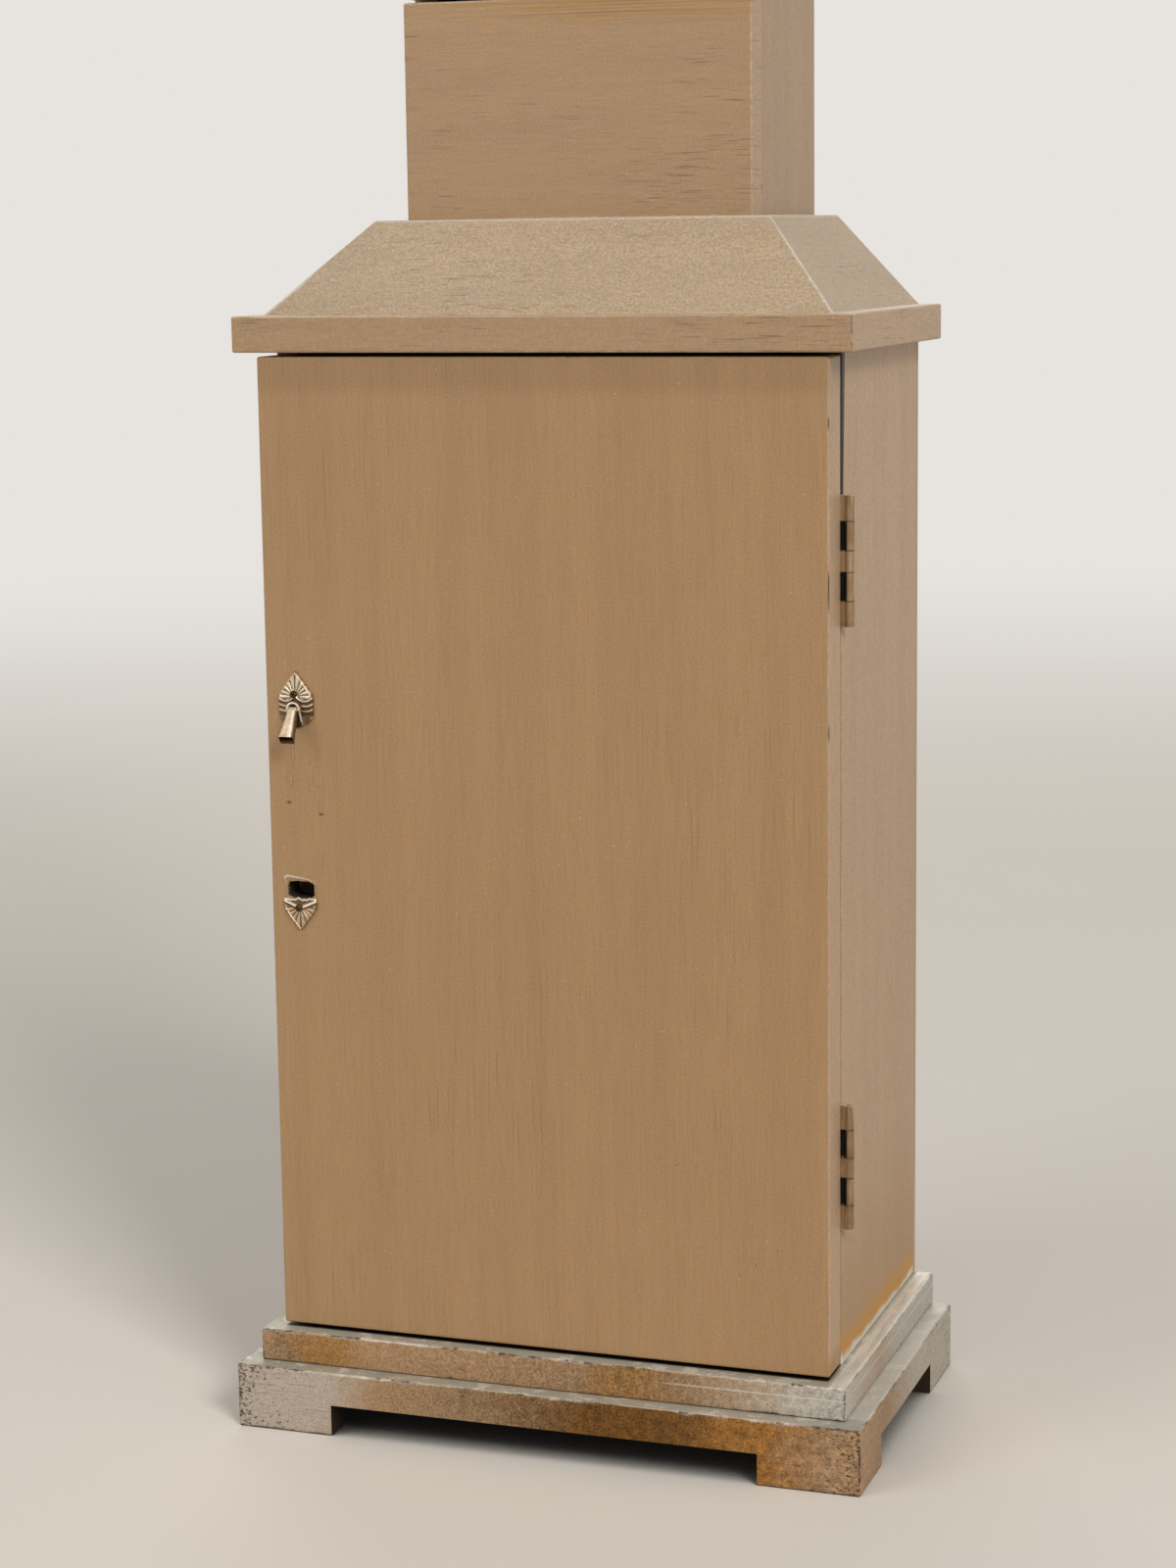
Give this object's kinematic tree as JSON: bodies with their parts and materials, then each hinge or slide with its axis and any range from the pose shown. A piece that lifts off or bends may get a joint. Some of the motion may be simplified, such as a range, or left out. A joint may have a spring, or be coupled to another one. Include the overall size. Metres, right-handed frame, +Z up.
{
  "type": "longcase clock",
  "caption": "Slim longcase clock with a cupboard base on a stepped bracket plinth, hipped skirt, narrow trunk with door, and a glazed hood over a pendulum movement.",
  "frame": {"origin": "on the floor under the middle of the plinth", "axes": "+Z up, +Y to the back, +X to the viewer's right when facing the dial"},
  "size_m": [0.334, 0.2, 1.788],
  "materials": {
    "bronze_paint": "brushed metallic bronze paint on wood, worn at the arrises",
    "bare_wood": "unpainted softwood",
    "painted_hinge": "painted over, edges rubbed bright",
    "steel": "oiled steel",
    "brass": "cast and turned brass, dulled",
    "dial": "cream paint",
    "glass": "clear"
  },
  "bodies": {
    "case": {"plinth_front": "bronze_paint", "plinth_left": "bronze_paint", "plinth_right": "bronze_paint", "plinth_step": "bronze_paint", "base_left_side": "bronze_paint", "base_right_side": "bronze_paint", "eave_board": "bronze_paint", "skirt_front": "bronze_paint", "skirt_left": "bronze_paint", "skirt_right": "bronze_paint", "trunk_left_side": "bronze_paint", "trunk_right_side": "bronze_paint", "trunk_bottom_rail": "bronze_paint", "trunk_top_rail": "bronze_paint", "throat_moulding": "bronze_paint", "base_back_panel": "bare_wood", "backboard": "bare_wood", "skirt_cap": "bare_wood", "seatboard": "bare_wood", "case_hinge_leaves": "painted_hinge", "case_hinge_pins": "steel", "case_hinge_screws": "steel", "suspension_spring": "steel", "movement_plates": "brass", "movement_pillars": "brass", "back_cock": "brass", "dial": "dial"},
    "base_door": {"base_door": "bronze_paint", "base_pull_plate": "brass", "base_escutcheon": "brass", "base_lock_case": "steel", "base_door_hinge_leaves": "painted_hinge", "base_door_hinge_screws": "steel"},
    "base_pull": {"base_pull_drop": "brass"},
    "base_bolt": {"base_lock_bolt": "steel"},
    "trunk_door": {"trunk_door": "bronze_paint", "trunk_door_hinges": "painted_hinge"},
    "trunk_catch": {"trunk_turn_catch": "brass"},
    "hood": {"hood_base_frame": "bronze_paint", "hood_sides": "bronze_paint", "hood_cornice": "bronze_paint", "hood_roof": "bronze_paint", "hood_hinges": "painted_hinge"},
    "hood_door": {"hood_door_frame": "bronze_paint", "hood_door_glass": "glass", "hood_door_hinges": "painted_hinge"},
    "barrel": {"mainspring_barrel": "brass"},
    "winding": {"winding_arbor": "steel"},
    "centre": {"centre_wheel": "brass", "cannon_pinion": "brass", "minute_hand": "steel"},
    "third": {"third_wheel": "brass"},
    "escape": {"escape_wheel": "brass"},
    "minute_work": {"minute_wheel": "brass"},
    "hour_work": {"hour_wheel": "brass", "hour_hand": "steel"},
    "pallets": {"pallets_and_crutch": "steel"},
    "pendulum": {"pendulum_rod": "brass", "pendulum_bob": "brass"},
    "rating": {"rating_nut": "brass"}
  },
  "joints": [
    {"name": "base_door_swing", "type": "hinge", "parent": "case", "child": "base_door", "pos_m": [0.1509, -0.0593, 0.3], "axis": [0, 0, 1], "range_deg": [0, 180]},
    {"name": "base_pull_lift", "type": "hinge", "parent": "base_door", "child": "base_pull", "pos_m": [-0.1303, -0.0872, 0.3779], "axis": [-1, 0, 0], "range_deg": [0, 60]},
    {"name": "base_bolt_throw", "type": "slide", "parent": "base_door", "child": "base_bolt", "axis": [-1, 0, 0], "range_m": [0, 0.006]},
    {"name": "trunk_door_swing", "type": "hinge", "parent": "case", "child": "trunk_door", "pos_m": [0.0949, -0.0011, 1], "axis": [0, 0, 1], "range_deg": [0, 180]},
    {"name": "trunk_catch_turn", "type": "hinge", "parent": "trunk_door", "child": "trunk_catch", "pos_m": [-0.068, 0, 1.04], "axis": [0, -1, 0], "range_deg": [0, 90]},
    {"name": "hood_slide", "type": "slide", "parent": "case", "child": "hood", "axis": [0, -1, 0], "range_m": [0, 0.2]},
    {"name": "hood_door_swing", "type": "hinge", "parent": "hood", "child": "hood_door", "pos_m": [0.1509, -0.0593, 1.58], "axis": [0, 0, 1], "range_deg": [0, 180]},
    {"name": "centre_turn", "type": "hinge", "parent": "case", "child": "centre", "pos_m": [0, 0, 1.581], "axis": [0, 1, 0], "continuous": true},
    {"name": "barrel_turn", "type": "hinge", "parent": "case", "child": "barrel", "pos_m": [0, 0, 1.545], "axis": [0, 1, 0], "continuous": true},
    {"name": "third_turn", "type": "hinge", "parent": "case", "child": "third", "pos_m": [0.01524, 0, 1.60544], "axis": [0, 1, 0], "continuous": true},
    {"name": "escape_turn", "type": "hinge", "parent": "case", "child": "escape", "pos_m": [0, 0, 1.627], "axis": [0, 1, 0], "continuous": true},
    {"name": "minute_wheel_turn", "type": "hinge", "parent": "case", "child": "minute_work", "pos_m": [-0.0192, 0, 1.5954], "axis": [0, 1, 0], "continuous": true},
    {"name": "hour_turn", "type": "hinge", "parent": "case", "child": "hour_work", "pos_m": [0, 0, 1.581], "axis": [0, 1, 0], "continuous": true},
    {"name": "winding_turn", "type": "hinge", "parent": "case", "child": "winding", "pos_m": [0, 0, 1.545], "axis": [0, 1, 0], "continuous": true},
    {"name": "pendulum_swing", "type": "hinge", "parent": "case", "child": "pendulum", "pos_m": [0, 0.074, 1.652], "axis": [0, 1, 0], "range_deg": [-2, 2]},
    {"name": "pallet_rock", "type": "hinge", "parent": "case", "child": "pallets", "pos_m": [0, 0.05, 1.652], "axis": [0, 1, 0], "range_deg": [-2, 2]},
    {"name": "rating_nut_turn", "type": "hinge", "parent": "pendulum", "child": "rating", "pos_m": [0, 0.074, 1.0447], "axis": [0, 0, 1], "continuous": true}
  ],
  "couplings": [
    {"joint": "barrel_turn", "follows": "centre_turn", "ratio": -0.125},
    {"joint": "third_turn", "follows": "centre_turn", "ratio": -8},
    {"joint": "escape_turn", "follows": "centre_turn", "ratio": 80},
    {"joint": "minute_wheel_turn", "follows": "centre_turn", "ratio": -0.33333},
    {"joint": "hour_turn", "follows": "centre_turn", "ratio": 0.083333},
    {"joint": "pallet_rock", "follows": "pendulum_swing", "ratio": 1}
  ]
}
